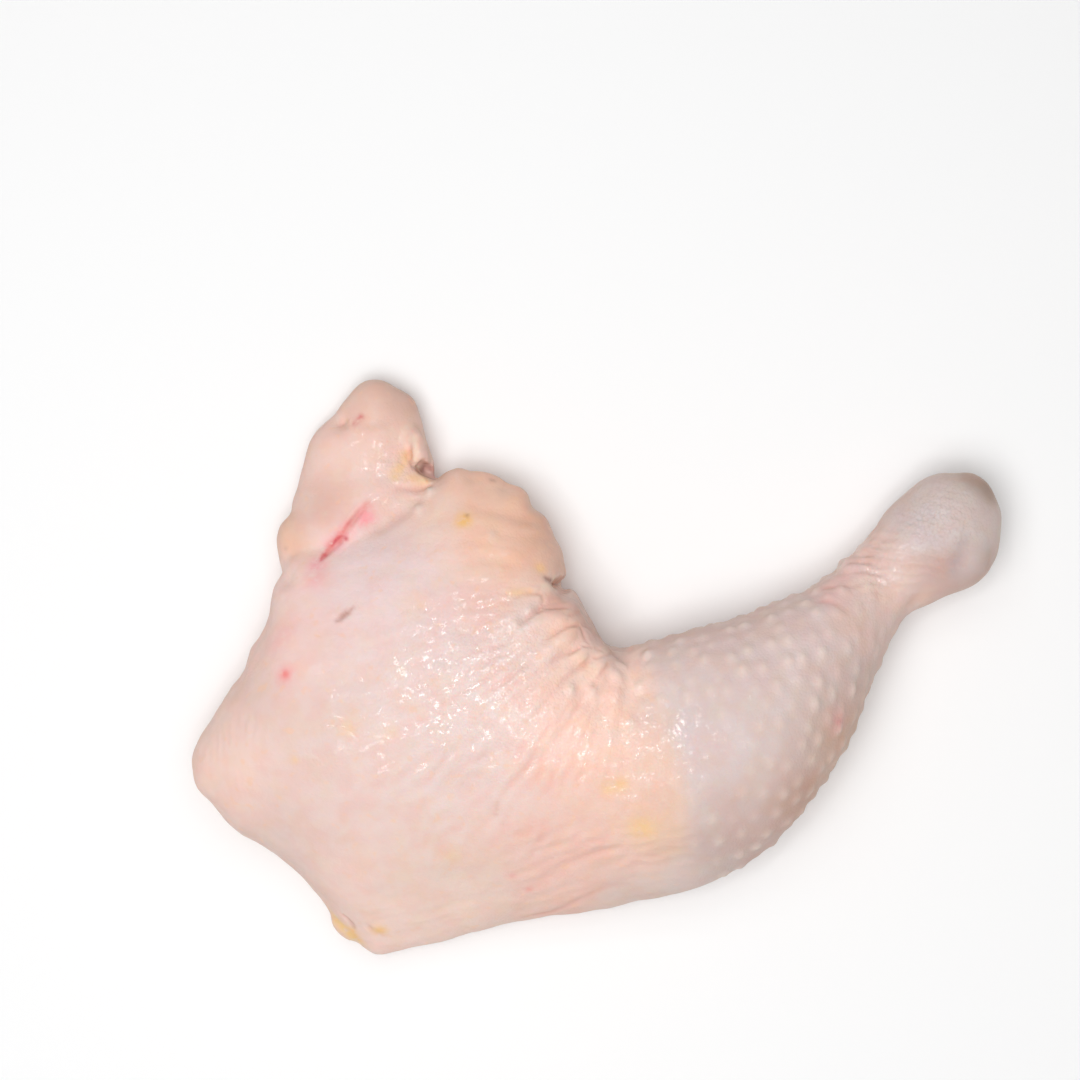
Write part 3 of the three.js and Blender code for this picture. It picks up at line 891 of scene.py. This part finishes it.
# Valleys and creases are painted redder and darker: part the skin's own colour, part painted shade.
CREASE_RED_AND_SHADE = (212, 142, 122)
VALLEY_SHARE = 0.24
CREASE_SHARE = 0.95
MARK_SIZE = 2.2
MARK_RANGE = (0.15, 0.55)
FILM_SIZE = 3.0
FILM_RANGE = (0.4, 0.6)
FILM_ROUGHNESS = 0.14
FILM_BEND = 1.9
PORE_SIZE = 0.7
GRAIN_SIZE = 2.2
GRAIN_DEPTH = 0.14 * MM
SKIN_GLOSS = 0.25
SKIN_ROUGHNESS = 0.46
ROUGHNESS_SIZE = 5
ROUGHNESS_GAIN = 0.12
FLESH_GLOW = 0.3
FLESH_GLOW_REACH = 1.8 * MM
FLESH_GLOW_SHARES = (1.0, 0.4, 0.25)

skin.use_nodes = True
skin_tree = skin.node_tree
skin_tree.nodes.clear()


def skin_node(kind, settings=None, sockets=None, output=0):
    return Wire.node(skin_tree, kind, settings, sockets, output)


def layer(name, output="Fac"):
    return skin_node("ShaderNodeAttribute", {"attribute_name": name}, output=output)


def grain(size, detail=2.0, shift=0.0):
    """Noise from 0 to 1 with grains of a size in millimetres. A shift makes it unlike the others."""
    spot = skin_node("ShaderNodeTexCoord", output="Object")
    moved = skin_node("ShaderNodeVectorMath", {"operation": "ADD"}, {0: spot, 1: (shift * MM,) * 3})
    return skin_node("ShaderNodeTexNoise", {}, {"Vector": moved, "Scale": 1 / (size * MM), "Detail": detail})


def pores(size):
    """Rounded cells of a size in millimetres: 1 in the middle of each and less towards its edge."""
    spot = skin_node("ShaderNodeTexCoord", output="Object")
    away = skin_node("ShaderNodeTexVoronoi", {"feature": "F1"}, {"Vector": spot, "Scale": 1 / (size * MM)})
    return 1 - away * away


def painted(below, above, share, way="MIX"):
    """A colour over what is below it, by a share."""
    settings = {"data_type": "RGBA", "blend_type": way}
    above = (*screen_colour(*above), 1)
    return skin_node("ShaderNodeMix", settings, {0: share, 6: below, 7: above}, output=2)


colour = layer("tint", "Color")
# Painted shade: the sides of the skin darkened to tan.
colour = painted(colour, SIDE_SHADE_TAN, layer("side") * SIDE_SHADE_SHARE)
colour = painted(colour, BLUSH_PINK, grain(BLUSH_SIZE).between(*BLUSH_RANGE), "MULTIPLY")
colour = painted(colour, PATCH_CREAM, grain(CREAM_SIZE, shift=30).between(*CREAM_RANGE), "MULTIPLY")
colour = painted(colour, LINE_PINK, layer("fan_line"), "MULTIPLY")
specks = grain(SPECK_SIZE, detail=1.0, shift=60).between(*SPECK_RANGE) * layer("specked")
colour = painted(colour, SPECK_AMBER, specks * SPECK_SHARE)
skin_pores = pores(PORE_SIZE)
# Painted shade darkens the edges of the knuckle's cells.
cells = (1 - skin_pores).between(*CELL_RANGE) * layer("knuckle")
colour = painted(colour, CELL_SHADE_GREY, cells * CELL_SHADE_SHARE)
colour = painted(colour, FOLLICLE_CREAM, layer("follicle") * CREAM_SHARE)
# Painted shade, with the skin's red, in the valleys and creases.
colour = painted(colour, CREASE_RED_AND_SHADE, layer("valley") * VALLEY_SHARE)
colour = painted(colour, CREASE_RED_AND_SHADE, layer("crease") * CREASE_SHARE)
mark_grain = grain(MARK_SIZE, shift=90).between(*MARK_RANGE)
for name, (shade, _) in SKIN_MARKS.items():
    colour = painted(colour, shade, layer(name) * mark_grain)

film = layer("wet") * grain(FILM_SIZE, detail=1.0, shift=50).between(*FILM_RANGE)
fine_relief = (skin_pores + grain(GRAIN_SIZE, detail=1.0, shift=20)) * layer("grained")
bumped = skin_node("ShaderNodeBump", {}, {"Strength": 1.0, "Distance": GRAIN_DEPTH, "Height": fine_relief})
finish = skin_node(
    "ShaderNodeBsdfPrincipled",
    {"subsurface_method": "RANDOM_WALK"},
    {
        "Base Color": colour,
        "Roughness": SKIN_ROUGHNESS + grain(ROUGHNESS_SIZE) * ROUGHNESS_GAIN,
        "Specular IOR Level": SKIN_GLOSS,
        "Normal": bumped,
        "Coat Weight": film,
        "Coat Roughness": FILM_ROUGHNESS,
        "Coat IOR": FILM_BEND,
        "Subsurface Weight": FLESH_GLOW,
        "Subsurface Scale": FLESH_GLOW_REACH,
        "Subsurface Radius": FLESH_GLOW_SHARES,
    },
)
skin_node("ShaderNodeOutputMaterial", {}, {"Surface": finish})

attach(leg, "root")
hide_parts("chicken_leg")

# Table and light
# A plain pale table under a wide soft light from above on the left and a weaker one over the leg. The wet
# skin mirrors a panel of small lamps round the camera and the white room, but not the two wide lights.

TABLE_WIDTH = 3.0
TABLE_GAP = 0.2 * MM
TABLE_PALE = (0.95, 0.95, 0.95, 1)
TABLE_ROUGHNESS = 0.7
SOFT_BOX_PLACE = Vector((-0.18, -0.12, 1.0))
SOFT_BOX_WIDTH = 0.55
SOFT_BOX_POWER = 5.12
# The panel has rows and columns of lamps, a middle and the steps between lamps.
PANEL_ROWS = 5
PANEL_COLUMNS = 4
PANEL_MIDDLE = Vector((-0.05, 0.06, 0.8))
PANEL_STEP = Vector((0.19, 0.2, 0))
PANEL_LAMP_WIDTH = 0.05
PANEL_LAMP_POWER = 0.105
FILL_WIDTH = 0.6
FILL_POWER = 0.35
# The room is brighter where something glossy mirrors it than where it lights.
ROOM_WHITE = (1, 1, 1, 1)
ROOM_LIGHT = 0.3
ROOM_SHEEN = 0.6

half = TABLE_WIDTH / 2
table_mesh = bpy.data.meshes.new("table")
table_corners = [(-half, -half), (half, -half), (half, half), (-half, half)]
table_mesh.from_pydata([(*corner, -TABLE_GAP) for corner in table_corners], [], [(0, 1, 2, 3)])
table = bare_object("table", table_mesh)
table_paint = bpy.data.materials.new("pale_table")
table_paint.use_nodes = True
table_shader = table_paint.node_tree.nodes["Principled BSDF"]
table_shader.inputs["Base Color"].default_value = TABLE_PALE
table_shader.inputs["Roughness"].default_value = TABLE_ROUGHNESS
table_mesh.materials.append(table_paint)


def area_lamp(name, place, width, power):
    """A square lamp that faces the leg."""
    lamp = bpy.data.lights.new(name, "AREA")
    lamp.size = width
    lamp.energy = power
    holder = bpy.data.objects.new(name, lamp)
    bpy.context.scene.collection.objects.link(holder)
    holder.location = place
    holder.rotation_euler = (leg_middle - place).to_track_quat("-Z", "Y").to_euler()
    return holder


soft_box = area_lamp("soft_box", SOFT_BOX_PLACE, SOFT_BOX_WIDTH, SOFT_BOX_POWER)
soft_box.visible_glossy = False
fill = area_lamp("fill", PANEL_MIDDLE, FILL_WIDTH, FILL_POWER)
fill.visible_glossy = False
for row in range(PANEL_ROWS):
    for column in range(PANEL_COLUMNS):
        steps = Vector((column, row, 0)) - Vector((PANEL_COLUMNS - 1, PANEL_ROWS - 1, 0)) / 2
        place = PANEL_MIDDLE + steps * PANEL_STEP
        area_lamp(f"panel_lamp_{row}_{column}", place, PANEL_LAMP_WIDTH, PANEL_LAMP_POWER)

room = bpy.data.worlds.new("room")
room.use_nodes = True
room_shader = room.node_tree.nodes["Background"]
room_shader.inputs["Color"].default_value = ROOM_WHITE
mirrored = Wire.node(room.node_tree, "ShaderNodeLightPath", output="Is Glossy Ray")
room_strength = mirrored * (ROOM_SHEEN - ROOM_LIGHT) + ROOM_LIGHT
room.node_tree.links.new(room_strength.socket, room_shader.inputs["Strength"])
bpy.context.scene.world = room
bpy.context.scene.view_settings.view_transform = "Standard"
